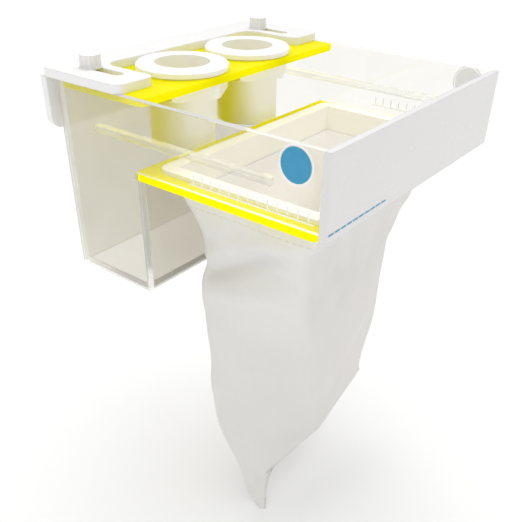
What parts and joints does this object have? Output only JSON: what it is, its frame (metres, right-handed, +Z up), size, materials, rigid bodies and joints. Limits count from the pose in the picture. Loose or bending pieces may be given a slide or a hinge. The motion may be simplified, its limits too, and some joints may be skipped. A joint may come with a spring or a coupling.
{
  "type": "hang-on drain box with filter sock",
  "caption": "Clear acrylic hang-on drain box with a yellow pipe plate and floor, a sliding hook for a tank rim, pipe sockets and a drop-in felt filter sock.",
  "frame": {"origin": "middle of the hook's underside, between the leg and the box, where it sits on the tank rim", "axes": "+X from the hook towards the white end panel, +Y from front to back, +Z up"},
  "size_m": [0.1991, 0.19, 0.3078],
  "materials": {
    "clear_acrylic": "clear cast acrylic sheet, polished",
    "yellow_acrylic": "fluorescent yellow acrylic sheet, glossy",
    "white_acrylic": "opaque white acrylic sheet, satin gloss",
    "white_nylon": "moulded white nylon",
    "white_pipe_plastic": "moulded white rigid vinyl",
    "pale_rubber": "pale silicone rubber",
    "cream_plastic": "moulded cream polypropylene",
    "white_felt": "needle-punched white polyester felt"
  },
  "bodies": {
    "hook": {"hook_plate": "white_acrylic", "hook_leg": "white_acrylic"},
    "box": {"front_wall": "clear_acrylic", "back_wall": "clear_acrylic", "chamber_end_wall": "clear_acrylic", "chamber_inner_wall": "clear_acrylic", "chamber_bottom": "clear_acrylic", "end_panel": "white_acrylic", "tray_floor": "yellow_acrylic", "pipe_plate": "yellow_acrylic", "front_ledge": "clear_acrylic", "back_ledge": "clear_acrylic", "front_pipe_fitting": "white_pipe_plastic", "back_pipe_fitting": "white_pipe_plastic", "front_fitting_nut": "white_pipe_plastic", "back_fitting_nut": "white_pipe_plastic", "front_gasket": "pale_rubber", "back_gasket": "pale_rubber"},
    "front_clamp": {"front_washer": "white_nylon"},
    "back_clamp": {"back_washer": "white_nylon"},
    "front_screw": {"front_thumbscrew": "white_nylon"},
    "back_screw": {"back_thumbscrew": "white_nylon"},
    "sock": {"sock_frame": "cream_plastic", "felt_bag": "white_felt"}
  },
  "joints": [
    {"name": "rim_gap_slide", "type": "slide", "parent": "hook", "child": "box", "axis": [1, 0, 0], "range_m": [0, 0.022]},
    {"name": "front_screw_lift", "type": "slide", "parent": "box", "child": "front_clamp", "axis": [0, 0, 1], "range_m": [0, 0.003]},
    {"name": "front_screw_turn", "type": "hinge", "parent": "front_clamp", "child": "front_screw", "pos_m": [0.015, -0.0773, 0.006], "axis": [0, 0, 1], "range_deg": [0, 1080]},
    {"name": "back_screw_lift", "type": "slide", "parent": "box", "child": "back_clamp", "axis": [0, 0, 1], "range_m": [0, 0.003]},
    {"name": "back_screw_turn", "type": "hinge", "parent": "back_clamp", "child": "back_screw", "pos_m": [0.015, 0.0773, 0.006], "axis": [0, 0, 1], "range_deg": [0, 1080]},
    {"name": "sock_lift", "type": "slide", "parent": "box", "child": "sock", "axis": [0, 0, 1], "range_m": [0, 0.32]}
  ],
  "couplings": [
    {"joint": "front_screw_turn", "follows": "front_screw_lift", "rad_per_m": 6283.2},
    {"joint": "back_screw_turn", "follows": "back_screw_lift", "rad_per_m": 6283.2}
  ]
}
